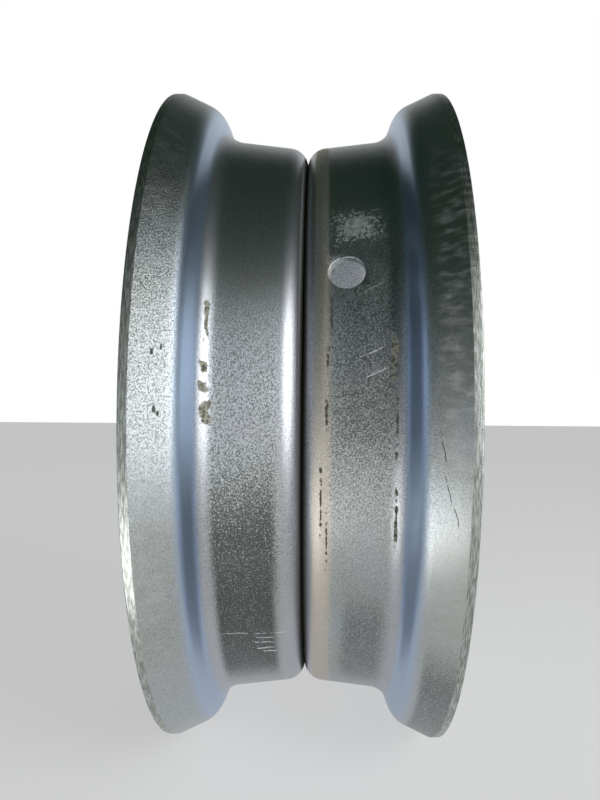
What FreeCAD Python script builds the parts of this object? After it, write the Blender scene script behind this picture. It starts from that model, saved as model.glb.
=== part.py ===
"""Two-piece wheel rim for a garden tiller, pressed from sheet steel and clamped web to web.

The spin axis is Y and the two webs meet in the plane y = 0. The valve hole is in the half on
the +Y side and looks towards +X and a little up.
"""

import FreeCAD, Part
import math
import os

import Sketcher
from FreeCAD import Placement, Rotation, Vector

# Driving sizes in millimetres, angles in degrees and plain counts.
SIZES = {
    # Section of the pressed sheet.
    "sheet_thickness": 2.5,
    "bead_seat_diameter": 202.4,
    "bead_seat_width": 54.8,
    "wall_taper": 6.4,
    "flange_leg_height": 10.35,
    "flange_lean": 20.3,
    "lip_width": 11.0,
    "lip_slope": 24.7,
    "lip_land": 2.5,
    "seam_bend_radius": 4.2,
    "heel_bend_radius": 7.2,
    "shoulder_bend_radius": 4.75,
    # Holes in the sheet.
    "hub_bore_diameter": 65.0,
    "hub_circle": 100.0,
    "hub_hole_diameter": 10.5,
    "hub_hole_count": 4,
    "hub_angle": 0.0,
    "valve_hole_diameter": 10.0,
    "valve_offset": 12.1,
    "valve_angle": 23.7,
    # Bolts that clamp the webs.
    "clamp_count": 4,
    "clamp_inset": 20.6,
    "clamp_angle": 45.0,
    "clamp_hole_clearance": 0.8,
    "bolt_diameter": 8.0,
    "bolt_end_chamfer": 1.0,
    "thread_protrusion": 3.3,
    "head_flats": 13.0,
    "head_height": 5.3,
    "nut_flats": 13.0,
    "nut_height": 6.5,
    "thread_clearance": 0.1,
    "corner_chamfer_angle": 30.0,
    "washer_clearance": 0.4,
    "washer_width": 3.8,
    "washer_thickness": 1.6,
    "spring_washer_clearance": 0.3,
    "spring_washer_width": 3.0,
    "spring_washer_thickness": 2.0,
    "spring_washer_split": 1.2,
}

# Places worked out from the driving sizes.
WALL_FOOT_RADIUS = "(Sizes.bead_seat_diameter / 2 - Sizes.bead_seat_width / 2 * tan(Sizes.wall_taper))"
CLAMP_RADIUS = f"({WALL_FOOT_RADIUS} - Sizes.sheet_thickness - Sizes.clamp_inset)"
HEAD_SEAT = "(Sizes.sheet_thickness + Sizes.washer_thickness)"
SPRING_SEAT = f"(-{HEAD_SEAT})"
NUT_SEAT = f"({SPRING_SEAT} - Sizes.spring_washer_thickness)"
NUT_END = f"({NUT_SEAT} - Sizes.nut_height)"
BOLT_END = f"({NUT_END} - Sizes.thread_protrusion)"
THROUGH = "(4 * Sizes.sheet_thickness)"
HEX_CORNERS = 6

doc = FreeCAD.newDocument("tiller_wheel_rim")


def fill_sheet():
    """Write every driving size into a named cell of the sheet."""
    sheet = doc.addObject("Spreadsheet::Sheet", "Sizes")
    for row, (alias, value) in enumerate(SIZES.items(), start=1):
        sheet.set(f"A{row}", alias)
        sheet.set(f"B{row}", str(value))
        sheet.setAlias(f"B{row}", alias)
    doc.recompute()


def origin_feature(body, role):
    """Find a plane or an axis of the body's own origin."""
    return next(feature for feature in body.Origin.OriginFeatures if feature.Role == role)


def add_body(label):
    """Start a sub-part."""
    body = doc.addObject("PartDesign::Body", label)
    body.Label = label
    return body


def add_sketch(body, name, role):
    """Start a sketch on one of the body's origin planes."""
    sketch = body.newObject("Sketcher::SketchObject", name)
    sketch.AttachmentSupport = [(origin_feature(body, role), "")]
    sketch.MapMode = "FlatFace"
    return sketch


def turn_sketch(sketch, axis, formula):
    """Turn a sketch on its plane about one of its own axes."""
    sketch.AttachmentOffset = Placement(Vector(), Rotation(axis, 1))
    sketch.setExpression("AttachmentOffset.Rotation.Angle", formula)


def drive(sketch, name, formula, kind, *where):
    """Add a dimension to a sketch and bind it to the sheet."""
    value = float(sketch.evalExpression(formula))
    if kind == "Angle":
        value = math.radians(value)
    index = sketch.addConstraint(Sketcher.Constraint(kind, *where, value))
    sketch.renameConstraint(index, name)
    sketch.setExpression(f"Constraints.{name}", formula)


def place_point(sketch, name, edge, end, across, along):
    """Bind both coordinates of a sketch point to the sheet."""
    drive(sketch, f"{name}_x", across, "DistanceX", edge, end)
    drive(sketch, f"{name}_y", along, "DistanceY", edge, end)


def draw_outline(sketch, corners):
    """Draw a closed outline of straight lines through corners given as pairs of formulas."""
    places = [Vector(*(float(sketch.evalExpression(part)) for part in corner), 0) for corner in corners]
    count = len(places)
    edges = [
        sketch.addGeometry(Part.LineSegment(places[number], places[(number + 1) % count]))
        for number in range(count)
    ]
    for number, corner in enumerate(corners):
        sketch.addConstraint(Sketcher.Constraint("Coincident", edges[number - 1], 2, edges[number], 1))
        place_point(sketch, f"corner{number}", edges[number], 1, *corner)


def draw_axis(sketch, start, end):
    """Draw a construction line to turn an outline about, between two pairs of formulas."""
    places = [Vector(*(float(sketch.evalExpression(part)) for part in pair), 0) for pair in (start, end)]
    axis = sketch.addGeometry(Part.LineSegment(*places), True)
    place_point(sketch, "axis_start", axis, 1, *start)
    place_point(sketch, "axis_end", axis, 2, *end)


def draw_circle(sketch, across, diameter):
    """Draw a circle centred on the sketch's own horizontal axis."""
    centre = Vector(float(sketch.evalExpression(across)), 0, 0)
    radius_formula = f"({diameter}) / 2"
    radius = float(sketch.evalExpression(radius_formula))
    circle = sketch.addGeometry(Part.Circle(centre, Vector(0, 0, 1), radius))
    sketch.addConstraint(Sketcher.Constraint("PointOnObject", circle, 3, -1))
    drive(sketch, "centre", across, "DistanceX", circle, 3)
    drive(sketch, "radius", radius_formula, "Radius", circle)


def turned(body, kind, sketch, axis):
    """Turn an outline once round: a Revolution adds it, a Groove cuts it away."""
    feature = body.newObject(kind, f"{sketch.Name}_turned")
    feature.Profile = sketch
    feature.ReferenceAxis = axis
    feature.Angle = 360
    doc.recompute()
    return feature


def cut_through(body, sketch):
    """Cut an outline right through, both ways from its plane."""
    pocket = body.newObject("PartDesign::Pocket", f"{sketch.Name}_cut")
    pocket.Profile = sketch
    pocket.SideType = "Symmetric"
    pocket.setExpression("Length", THROUGH)
    doc.recompute()
    return pocket


def pattern_round(body, features, name, count_formula, whole=False):
    """Repeat features, or the whole sub-part, evenly round the spin axis."""
    pattern = body.newObject("PartDesign::PolarPattern", name)
    pattern.TransformMode = "Whole shape" if whole else "Features"
    pattern.Originals = features
    pattern.Axis = (origin_feature(body, "Y_Axis"), [""])
    pattern.Angle = 360
    pattern.setExpression("Occurrences", count_formula)
    body.Tip = pattern
    doc.recompute()


def end_at(sketch, edge, place):
    """Tell which end of a sketch edge lies at a place."""
    ends = (1, 2)
    return min(ends, key=lambda end: sketch.getPoint(edge, end).distanceToPoint(place))


def join_edges(sketch, first, second, place, smooth):
    """Join two edges where they meet, smoothly or at a corner."""
    kind = "Tangent" if smooth else "Coincident"
    ends = (first, end_at(sketch, first, place), second, end_at(sketch, second, place))
    sketch.addConstraint(Sketcher.Constraint(kind, *ends))


def bend_arc(before, corner, after, radius):
    """Round a corner of the section: start, middle and end of the arc, and its centre."""
    way_in = (corner - before).normalize()
    way_out = (after - corner).normalize()
    half_turn = way_in.getAngle(way_out) / 2
    reach = radius * math.tan(half_turn)
    towards_centre = (way_out - way_in).normalize()
    centre = corner + towards_centre * (radius / math.cos(half_turn))
    arc = (corner - way_in * reach, centre - towards_centre * radius, corner + way_out * reach)
    return arc, centre


def draw_run(sketch, first, arcs, last):
    """Draw one face of the sheet as straight lines joined smoothly by arcs."""
    edges = []
    joints = []
    place = first
    for start, middle, end in arcs:
        edges.append(sketch.addGeometry(Part.LineSegment(place, start)))
        edges.append(sketch.addGeometry(Part.Arc(start, middle, end)))
        joints.extend((start, end))
        place = end
    edges.append(sketch.addGeometry(Part.LineSegment(place, last)))
    for number, joint in enumerate(joints):
        join_edges(sketch, edges[number], edges[number + 1], joint, smooth=True)
    return edges


def section_corners():
    """Sharp corners of the tyre side of the section, as radius and height above the seam plane."""
    taper, lean, slope = (math.radians(SIZES[name]) for name in ("wall_taper", "flange_lean", "lip_slope"))
    heel = Vector(SIZES["bead_seat_diameter"] / 2, SIZES["bead_seat_width"] / 2, 0)
    foot = Vector(heel.x - heel.y * math.tan(taper), 0, 0)
    leg = SIZES["flange_leg_height"]
    shoulder = heel + Vector(leg, leg * math.tan(lean), 0)
    lip = SIZES["lip_width"]
    edge = shoulder + Vector(lip * math.tan(slope), lip, 0)
    bore = Vector(SIZES["hub_bore_diameter"] / 2, 0, 0)
    return bore, foot, heel, shoulder, edge


def draw_section(sketch):
    """Draw the section of one pressed half: web, bead seat, flange and lip of one thickness."""
    thickness = SIZES["sheet_thickness"]
    corners = section_corners()
    # The sheet bends away from the tyre at the seam and the shoulder, towards it at the heel.
    bends = (("seam", thickness, 0), ("heel", 0, thickness), ("shoulder", thickness, 0))
    tyre_arcs = []
    dish_arcs = []
    for number, (name, tyre_extra, dish_extra) in enumerate(bends):
        inside = SIZES[f"{name}_bend_radius"]
        tyre_radius = inside + tyre_extra
        arc, centre = bend_arc(*corners[number:number + 3], tyre_radius)
        ratio = (inside + dish_extra) / tyre_radius
        tyre_arcs.append(arc)
        dish_arcs.append(tuple(centre + (point - centre) * ratio for point in arc))
    bore, edge = corners[0], corners[-1]
    land_end = edge + Vector(0, SIZES["lip_land"], 0)
    slope = math.radians(SIZES["lip_slope"])
    face_end = land_end + Vector(SIZES["lip_land"] * math.tan(slope) - thickness / math.cos(slope), 0, 0)
    bore_end = bore + Vector(0, thickness, 0)

    tyre = draw_run(sketch, bore, tyre_arcs, edge)
    dish = draw_run(sketch, bore_end, dish_arcs, face_end)
    land = sketch.addGeometry(Part.LineSegment(edge, land_end))
    face = sketch.addGeometry(Part.LineSegment(land_end, face_end))
    bore_wall = sketch.addGeometry(Part.LineSegment(bore_end, bore))
    for first, second, place in (
        (tyre[-1], land, edge),
        (land, face, land_end),
        (face, dish[-1], face_end),
        (dish[0], bore_wall, bore_end),
        (bore_wall, tyre[0], bore),
    ):
        join_edges(sketch, first, second, place, smooth=False)

    web, _, wall, _, leg, _, lip = tyre
    for level in (web, dish[0], face):
        sketch.addConstraint(Sketcher.Constraint("Horizontal", level))
    for upright in (land, bore_wall):
        sketch.addConstraint(Sketcher.Constraint("Vertical", upright))
    sketch.addConstraint(Sketcher.Constraint("PointOnObject", web, 1, -1))
    sketch.addConstraint(Sketcher.Constraint("Parallel", lip, dish[-1]))
    for number, (name, tyre_extra, dish_extra) in enumerate(bends):
        tyre_arc, dish_arc = tyre[2 * number + 1], dish[2 * number + 1]
        sketch.addConstraint(Sketcher.Constraint("Coincident", tyre_arc, 3, dish_arc, 3))
        inside = f"Sizes.{name}_bend_radius"
        outside = f"{inside} + Sizes.sheet_thickness"
        drive(sketch, f"{name}_tyre", outside if tyre_extra else inside, "Radius", tyre_arc)
        drive(sketch, f"{name}_dish", outside if dish_extra else inside, "Radius", dish_arc)

    # The sharp heel and shoulder, where the straight stretches would meet.
    heel = sketch.addGeometry(Part.Point(corners[2]), True)
    shoulder = sketch.addGeometry(Part.Point(corners[3]), True)
    for point, line in ((heel, wall), (heel, leg), (shoulder, leg), (shoulder, lip)):
        sketch.addConstraint(Sketcher.Constraint("PointOnObject", point, 1, line))
    place_point(sketch, "heel", heel, 1, "Sizes.bead_seat_diameter / 2", "Sizes.bead_seat_width / 2")
    drive(sketch, "flange_leg", "Sizes.flange_leg_height", "DistanceX", heel, 1, shoulder, 1)
    drive(sketch, "lip_width", "Sizes.lip_width", "DistanceY", shoulder, 1, lip, end_at(sketch, lip, edge))
    drive(sketch, "land", "Sizes.lip_land", "DistanceY", land, 1, land, 2)
    drive(sketch, "bore", "Sizes.hub_bore_diameter / 2", "DistanceX", web, 1)
    drive(sketch, "taper", "90 - Sizes.wall_taper", "Angle", -1, 1, wall, 1)
    drive(sketch, "lean", "Sizes.flange_lean", "Angle", -1, 1, leg, 1)
    drive(sketch, "slope", "90 - Sizes.lip_slope", "Angle", -1, 1, lip, 1)


def punch_round(body, name, circle_radius, diameter, count, angle):
    """Punch a ring of round holes through the web."""
    sketch = add_sketch(body, name, "XZ_Plane")
    turn_sketch(sketch, Vector(0, 0, 1), angle)
    draw_circle(sketch, circle_radius, diameter)
    pattern_round(body, [cut_through(body, sketch)], f"{name}_ring", count)


def punch_valve_hole(body):
    """Punch the valve hole square to the tapered bead seat."""
    sketch = add_sketch(body, "valve_hole", "XY_Plane")
    turn_sketch(sketch, Vector(0, -1, 0), "Sizes.valve_angle")
    seat_radius = f"({WALL_FOOT_RADIUS} + Sizes.valve_offset * tan(Sizes.wall_taper))"
    across, along = "cos(Sizes.wall_taper)", "sin(Sizes.wall_taper)"

    def on_hole(outward, aside):
        """A place at a distance out along the hole's own axis and a distance to its side."""
        return (
            f"{seat_radius} + ({outward}) * {across} + ({aside}) * {along}",
            f"Sizes.valve_offset - ({outward}) * {along} + ({aside}) * {across}",
        )

    depth = "2 * Sizes.sheet_thickness"
    radius = "Sizes.valve_hole_diameter / 2"
    draw_outline(
        sketch,
        [on_hole(depth, "0"), on_hole(depth, radius), on_hole(f"-{depth}", radius), on_hole(f"-{depth}", "0")],
    )
    draw_axis(sketch, on_hole(f"-{depth}", "0"), on_hole(depth, "0"))
    turned(body, "PartDesign::Groove", sketch, (sketch, ["Axis0"]))


def make_half(label, upward, with_valve_hole):
    """Press one half of the rim, its dish opening to +Y or to -Y."""
    body = add_body(label)
    sketch = add_sketch(body, f"{label}_section", "XY_Plane")
    if not upward:
        sketch.AttachmentOffset = Placement(Vector(), Rotation(Vector(1, 0, 0), 180))
    draw_section(sketch)
    turned(body, "PartDesign::Revolution", sketch, (sketch, ["V_Axis"]))
    hole_diameter = "Sizes.bolt_diameter + Sizes.clamp_hole_clearance"
    punch_round(body, "clamp_holes", CLAMP_RADIUS, hole_diameter, "Sizes.clamp_count", "Sizes.clamp_angle")
    punch_round(
        body, "hub_holes", "Sizes.hub_circle / 2", "Sizes.hub_hole_diameter", "Sizes.hub_hole_count", "Sizes.hub_angle"
    )
    if with_valve_hole:
        punch_valve_hole(body)
    return body


def add_clamp_body(label):
    """Start a set of clamp fasteners: the first lies at +X, and the set is turned to the holes."""
    body = add_body(label)
    body.Placement = Placement(Vector(), Rotation(Vector(0, -1, 0), 1))
    body.setExpression("Placement.Rotation.Angle", "Sizes.clamp_angle")
    return body


def from_clamp_axis(distance):
    """A distance from the first clamp bolt's axis, as a distance from the spin axis."""
    return f"{CLAMP_RADIUS} + {distance}"


def turn_on_clamp_axis(body, name, corners):
    """Turn a section, given as distance from the bolt's axis and height, about that axis."""
    sketch = add_sketch(body, name, "XY_Plane")
    draw_outline(sketch, [(from_clamp_axis(distance), height) for distance, height in corners])
    heights = [height for _, height in corners]
    draw_axis(sketch, (CLAMP_RADIUS, heights[0]), (CLAMP_RADIUS, heights[-1]))
    return turned(body, "PartDesign::Revolution", sketch, (sketch, ["Axis0"]))


def cut_flats(body, name, flats, seat, thickness, upward):
    """Cut the six flats of a bolt head or a nut from the turned blank."""
    sketch = add_sketch(body, name, "XZ_Plane")
    sketch.AttachmentOffset = Placement(Vector(), Rotation())
    sketch.setExpression("AttachmentOffset.Base.z", f"-({seat})")
    corner_radius = f"(({flats}) / 2 / cos(30))"
    hexagon = []
    for corner in range(HEX_CORNERS):
        angle = 360 / HEX_CORNERS * corner
        hexagon.append((f"{CLAMP_RADIUS} + {corner_radius} * cos({angle})", f"{corner_radius} * sin({angle})"))
    draw_outline(sketch, hexagon)
    draw_circle(sketch, CLAMP_RADIUS, f"4 * {corner_radius}")
    pocket = body.newObject("PartDesign::Pocket", f"{name}_cut")
    pocket.Profile = sketch
    pocket.Reversed = not upward
    pocket.setExpression("Length", thickness)
    doc.recompute()


def finish_clamp_set(body, name):
    """Repeat the finished fastener at every clamp hole."""
    pattern_round(body, [], name, "Sizes.clamp_count", whole=True)
    return body


def make_clamp_bolts():
    """Hex bolts, their heads in the dish on the +Y side."""
    body = add_clamp_body("clamp_bolts")
    flats = "Sizes.head_flats"
    corner = f"({flats} / 2 / cos(30))"
    drop = f"(({corner} - {flats} / 2) * tan(Sizes.corner_chamfer_angle))"
    top = f"({HEAD_SEAT} + Sizes.head_height)"
    shank = "(Sizes.bolt_diameter / 2)"
    corners = [
        ("0", top),
        (f"{flats} / 2", top),
        (corner, f"{top} - {drop}"),
        (corner, HEAD_SEAT),
        (shank, HEAD_SEAT),
        (shank, f"{BOLT_END} + Sizes.bolt_end_chamfer"),
        (f"{shank} - Sizes.bolt_end_chamfer", BOLT_END),
        ("0", BOLT_END),
    ]
    turn_on_clamp_axis(body, "bolt_section", corners)
    cut_flats(body, "head_flats", flats, HEAD_SEAT, "Sizes.head_height", upward=True)
    return finish_clamp_set(body, "bolt_ring")


def make_clamp_nuts():
    """Hex nuts on the bolts, in the dish on the -Y side."""
    body = add_clamp_body("clamp_nuts")
    flats = "Sizes.nut_flats"
    corner = f"({flats} / 2 / cos(30))"
    drop = f"(({corner} - {flats} / 2) * tan(Sizes.corner_chamfer_angle))"
    bore = "(Sizes.bolt_diameter / 2 + Sizes.thread_clearance)"
    corners = [
        (bore, NUT_SEAT),
        (f"{flats} / 2", NUT_SEAT),
        (corner, f"{NUT_SEAT} - {drop}"),
        (corner, f"{NUT_END} + {drop}"),
        (f"{flats} / 2", NUT_END),
        (bore, NUT_END),
    ]
    turn_on_clamp_axis(body, "nut_section", corners)
    cut_flats(body, "nut_flats", flats, NUT_END, "Sizes.nut_height", upward=True)
    return finish_clamp_set(body, "nut_ring")


def ring_section(bore, width, bottom, thickness):
    """Section of a washer as distances from its axis and heights."""
    outer = f"{bore} + {width}"
    top = f"{bottom} + {thickness}"
    return [(bore, bottom), (outer, bottom), (outer, top), (bore, top)]


def make_flat_washers():
    """Flat washers against both webs, under the bolt heads and under the spring washers."""
    body = add_clamp_body("flat_washers")
    bore = "(Sizes.bolt_diameter / 2 + Sizes.washer_clearance / 2)"
    for name, bottom in (("head_washer", "Sizes.sheet_thickness"), ("nut_washer", SPRING_SEAT)):
        section = ring_section(bore, "Sizes.washer_width", bottom, "Sizes.washer_thickness")
        turn_on_clamp_axis(body, name, section)
    return finish_clamp_set(body, "washer_ring")


def make_spring_washers():
    """Split spring washers, pressed flat under the nuts."""
    body = add_clamp_body("spring_washers")
    bore = "(Sizes.bolt_diameter / 2 + Sizes.spring_washer_clearance / 2)"
    width = "Sizes.spring_washer_width"
    turn_on_clamp_axis(body, "spring_ring", ring_section(bore, width, NUT_SEAT, "Sizes.spring_washer_thickness"))
    sketch = add_sketch(body, "spring_split", "XZ_Plane")
    half_split = "Sizes.spring_washer_split / 2"
    far = from_clamp_axis(f"{bore} + 2 * {width}")
    draw_outline(
        sketch,
        [
            (CLAMP_RADIUS, f"-{half_split}"),
            (far, f"-{half_split}"),
            (far, half_split),
            (CLAMP_RADIUS, half_split),
        ],
    )
    pocket = body.newObject("PartDesign::Pocket", "spring_split_cut")
    pocket.Profile = sketch
    pocket.SideType = "Symmetric"
    pocket.setExpression("Length", f"-2 * {NUT_END}")
    doc.recompute()
    return finish_clamp_set(body, "spring_washer_ring")


def check_document(bodies):
    """Stop if any feature failed or any sub-part isn't a sound solid."""
    for item in doc.Objects:
        if "Invalid" in item.State or "Error" in item.State:
            raise RuntimeError(f"{item.Name} failed: {item.State}")
    for body in bodies:
        if body.Shape.isNull() or not body.Shape.isValid():
            raise RuntimeError(f"{body.Label} is not a sound solid")


def main():
    """Build every sub-part, check it and write its file."""
    fill_sheet()
    bodies = [
        make_half("rim_half_plain", upward=False, with_valve_hole=False),
        make_half("rim_half_valve", upward=True, with_valve_hole=True),
        make_clamp_bolts(),
        make_flat_washers(),
        make_spring_washers(),
        make_clamp_nuts(),
    ]
    doc.recompute()
    check_document(bodies)
    os.makedirs("parts", exist_ok=True)
    for body in bodies:
        body.Shape.exportStep(f"parts/{body.Label}.step")
        print(body.Label, len(body.Shape.Solids), "solids", round(body.Shape.Volume, 1), "mm3")


main()
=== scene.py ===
"""Garden tiller wheel rim: two pressed, zinc-plated halves clamped web to web, on a pale floor."""

import logging
import math
from dataclasses import dataclass
from enum import Enum
from functools import reduce
from typing import Any

import bpy
from bpy.types import Material, Mesh, Node, NodeSocket, NodeTree, Object, Scene
from mathutils import Matrix, Vector


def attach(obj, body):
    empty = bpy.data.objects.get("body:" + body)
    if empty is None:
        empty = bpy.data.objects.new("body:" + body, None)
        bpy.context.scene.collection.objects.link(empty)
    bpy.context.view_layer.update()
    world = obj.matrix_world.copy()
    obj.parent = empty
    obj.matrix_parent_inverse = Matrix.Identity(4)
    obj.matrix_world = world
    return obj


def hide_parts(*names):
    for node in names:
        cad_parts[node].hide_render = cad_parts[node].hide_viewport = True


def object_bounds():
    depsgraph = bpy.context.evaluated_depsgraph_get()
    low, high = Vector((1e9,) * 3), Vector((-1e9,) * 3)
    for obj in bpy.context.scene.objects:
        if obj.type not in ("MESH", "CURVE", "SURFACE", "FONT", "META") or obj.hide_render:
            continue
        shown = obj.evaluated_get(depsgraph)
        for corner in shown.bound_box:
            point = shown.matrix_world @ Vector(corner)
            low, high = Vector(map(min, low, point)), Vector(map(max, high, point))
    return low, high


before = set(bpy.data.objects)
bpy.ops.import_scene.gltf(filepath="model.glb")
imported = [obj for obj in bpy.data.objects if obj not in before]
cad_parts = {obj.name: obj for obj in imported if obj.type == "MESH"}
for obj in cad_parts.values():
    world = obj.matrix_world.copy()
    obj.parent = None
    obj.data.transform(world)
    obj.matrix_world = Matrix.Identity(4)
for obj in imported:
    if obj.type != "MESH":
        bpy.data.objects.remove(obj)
CAD_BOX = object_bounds()

LOG = logging.getLogger("tiller_rim")
MM = 0.001
BODY = "root"
SPIN_BASE_RADIUS = 0.01
SPIN_SEGMENTS = 288
FASTENER_SEGMENTS = 48
HEX_SIDES = 6
HEX_STEP = math.tau / HEX_SIDES
FASTENER_SEED = 4
POLE_MERGE = 0.001 * MM
PUNCH_TWIST = math.radians(2.3)
PUNCH_ARC_STEPS = 5
ARC_STEP = math.radians(7.0)
STRAIGHT = 1e-4
SHARP_ANGLE = math.radians(38.0)
NOISE_MIDDLE = 0.5
FLOAT_SOCKET = "NodeSocketFloat"
GEOMETRY = {"Geometry": "NodeSocketGeometry"}
FINISH = {"Finish": "NodeSocketMaterial"}
RING = {"Count": "NodeSocketInt", "Circle": FLOAT_SOCKET, "Start": FLOAT_SOCKET}
SHARP = {"Sharp Angle": FLOAT_SOCKET}
MIX_FACTOR = 0
MIX_FIRST = 6
MIX_SECOND = 7
MIX_RESULT = 2

Colour = tuple[float, float, float, float]
Range = tuple[float, float]
Band = tuple[float, float, float]


class Side(Enum):
    """Which way a rim half's dish opens along the spin axis."""

    PLAIN = -1
    VALVE = 1


@dataclass(frozen=True)
class Corner:
    """One corner of a turned section, rounded to a radius of its own."""

    radius: float
    height: float
    bend: float = 0.0

    @property
    def place(self) -> Vector:
        """The sharp corner as a flat vector."""
        return Vector((self.radius, self.height))


def round_corner(before: Vector, corner: Vector, after: Vector, bend: float) -> list[Vector]:
    """Replace a sharp corner by points on the arc that touches both of its sides.

    Args:
        before: The corner before it.
        corner: The corner to round.
        after: The corner after it.
        bend: Radius of the arc; zero keeps the corner sharp.

    Returns:
        The points in order along the outline.
    """
    way_in = (corner - before).normalized()
    way_out = (after - corner).normalized()
    turn = way_in.angle(way_out)
    if bend <= 0.0 or turn < STRAIGHT:
        return [corner.copy()]
    inward = (way_out - way_in).normalized()
    centre = corner + inward * (bend / math.cos(turn / 2))
    steps = max(2, math.ceil(turn / ARC_STEP))
    start = corner - way_in * (bend * math.tan(turn / 2)) - centre
    direction = 1 if way_in.cross(way_out) > 0 else -1
    points = []
    for step in range(steps + 1):
        angle = direction * turn * step / steps
        turned = Vector(
            (
                start.x * math.cos(angle) - start.y * math.sin(angle),
                start.x * math.sin(angle) + start.y * math.cos(angle),
            )
        )
        points.append(centre + turned)
    return points


def outline_points(corners: list[Corner], longest: float) -> list[Vector]:
    """Round every corner of a closed section and divide its long straight stretches.

    Args:
        corners: The corners in order round the section.
        longest: Length above which a straight stretch is divided.

    Returns:
        The closed outline as flat points.
    """
    rounded: list[Vector] = []
    count = len(corners)
    for index, corner in enumerate(corners):
        before = corners[index - 1].place
        after = corners[(index + 1) % count].place
        rounded.extend(round_corner(before, corner.place, after, corner.bend))
    points: list[Vector] = []
    for index, point in enumerate(rounded):
        following = rounded[(index + 1) % len(rounded)]
        parts = max(1, math.ceil((following - point).length / longest))
        points.extend(point.lerp(following, part / parts) for part in range(parts))
    return points


def offset_corner(before: Vector, corner: Vector, after: Vector, distance: float) -> Vector:
    """Find where two sides of an outline meet after both move to their left.

    Args:
        before: The corner before it.
        corner: The corner where the two sides meet.
        after: The corner after it.
        distance: How far both sides move.

    Returns:
        The moved corner.
    """
    way_in = (corner - before).normalized()
    way_out = (after - corner).normalized()
    left_in = Vector((-way_in.y, way_in.x))
    left_out = Vector((-way_out.y, way_out.x))
    middle = (left_in + left_out).normalized()
    return corner + middle * (distance / middle.dot(left_in))


class NodeKit:
    """Adds nodes to one tree and joins their sockets."""

    def __init__(self, tree: NodeTree) -> None:
        """Keep the tree that the nodes go into."""
        self.tree = tree

    def add(self, kind: str, inputs: dict[Any, Any] | None = None, **settings: Any) -> Node:
        """Add one node, set it up and feed its inputs.

        Args:
            kind: The node's type name.
            inputs: Values or sockets by input name or number.
            **settings: Properties of the node.

        Returns:
            The new node.
        """
        node = self.tree.nodes.new(kind)
        for name, value in settings.items():
            setattr(node, name, value)
        for key, value in (inputs or {}).items():
            self.feed(node.inputs[key], value)
        return node

    def out(self, kind: str, inputs: dict[Any, Any] | None = None, **settings: Any) -> NodeSocket:
        """Add one node and return its first output."""
        return self.add(kind, inputs, **settings).outputs[0]

    def given(self) -> Any:
        """Add the group's inputs and return them by name."""
        return self.add("NodeGroupInput").outputs

    def end(self, values: dict[str, Any]) -> NodeTree:
        """Feed the group's outputs and return the finished tree."""
        self.add("NodeGroupOutput", values)
        return self.tree

    def feed(self, socket: NodeSocket, value: Any) -> None:
        """Give an input socket a value, or join it to another node's socket."""
        if isinstance(value, NodeSocket):
            self.tree.links.new(value, socket)
        else:
            socket.default_value = value

    def math(self, operation: str, *values: Any) -> NodeSocket:
        """Add a Math node and return its result."""
        return self.out("ShaderNodeMath", dict(enumerate(values)), operation=operation)

    def product(self, *values: Any) -> NodeSocket:
        """Multiply several values."""
        return reduce(lambda first, second: self.math("MULTIPLY", first, second), values)

    def highest(self, *values: Any) -> NodeSocket:
        """Take the highest of several values."""
        return reduce(lambda first, second: self.math("MAXIMUM", first, second), values)

    def rest(self, value: Any, share: float) -> NodeSocket:
        """Say what a share of a value leaves of 1."""
        return self.math("MULTIPLY_ADD", value, -share, 1.0)

    def ramp(self, value: Any, low: float, high: float) -> NodeSocket:
        """Rise smoothly from 0 at low to 1 at high; high may be the lower number."""
        node = self.add(
            "ShaderNodeMapRange",
            {"Value": value, "From Min": low, "From Max": high},
            interpolation_type="SMOOTHSTEP",
        )
        return node.outputs["Result"]

    def band(self, value: Any, low: float, high: float, fade: float) -> NodeSocket:
        """Be 1 between two values and fade to 0 on both sides.

        Args:
            value: The value that is looked at.
            low: Where the band starts.
            high: Where the band ends.
            fade: How far it takes to fade past either end.

        Returns:
            The mask.
        """
        rising = self.ramp(value, low - fade, low)
        falling = self.ramp(value, high + fade, high)
        return self.math("MULTIPLY", rising, falling)

    def blend(self, factor: Any, first: Any, second: Any) -> NodeSocket:
        """Mix two colours."""
        inputs = {MIX_FACTOR: factor, MIX_FIRST: first, MIX_SECOND: second}
        return self.add("ShaderNodeMix", inputs, data_type="RGBA").outputs[MIX_RESULT]

    def noise(self, vector: Any, scale: Any, detail: Any = 2.0, rough: float = 0.5) -> NodeSocket:
        """Add a Noise texture and return its value."""
        inputs = {"Vector": vector, "Scale": scale, "Detail": detail, "Roughness": rough}
        return self.out("ShaderNodeTexNoise", inputs)

    def object_place(self) -> NodeSocket:
        """Return the point's place on the piece itself."""
        return self.add("ShaderNodeTexCoord").outputs["Object"]


def new_tree(name: str, kind: str, inputs: dict[str, str], outputs: dict[str, str]) -> NodeKit:
    """Start a node group with named sockets.

    Args:
        name: Name of the group.
        kind: Type of the tree.
        inputs: Socket type by input name.
        outputs: Socket type by output name.

    Returns:
        A kit that adds nodes to the group.
    """
    tree = bpy.data.node_groups.new(name, kind)
    for direction, sockets in (("INPUT", inputs), ("OUTPUT", outputs)):
        for socket, socket_kind in sockets.items():
            tree.interface.new_socket(name=socket, in_out=direction, socket_type=socket_kind)
    return NodeKit(tree)


def shade_by_angle(kit: NodeKit, geometry: Any, sharp_angle: Any) -> NodeSocket:
    """Add nodes that shade a mesh smooth, except over its sharp edges.

    Args:
        geometry: The mesh to shade.
        sharp_angle: Angle from which an edge counts as sharp.

    Returns:
        The shaded mesh.
    """
    angle = kit.out("GeometryNodeInputMeshEdgeAngle")
    soft = kit.out("FunctionNodeCompare", {0: angle, 1: sharp_angle}, operation="LESS_THAN")
    faces = kit.out("GeometryNodeSetShadeSmooth", {"Geometry": geometry, "Shade Smooth": True})
    return kit.out("GeometryNodeSetShadeSmooth", {"Geometry": faces, "Shade Smooth": soft}, domain="EDGE")


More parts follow.
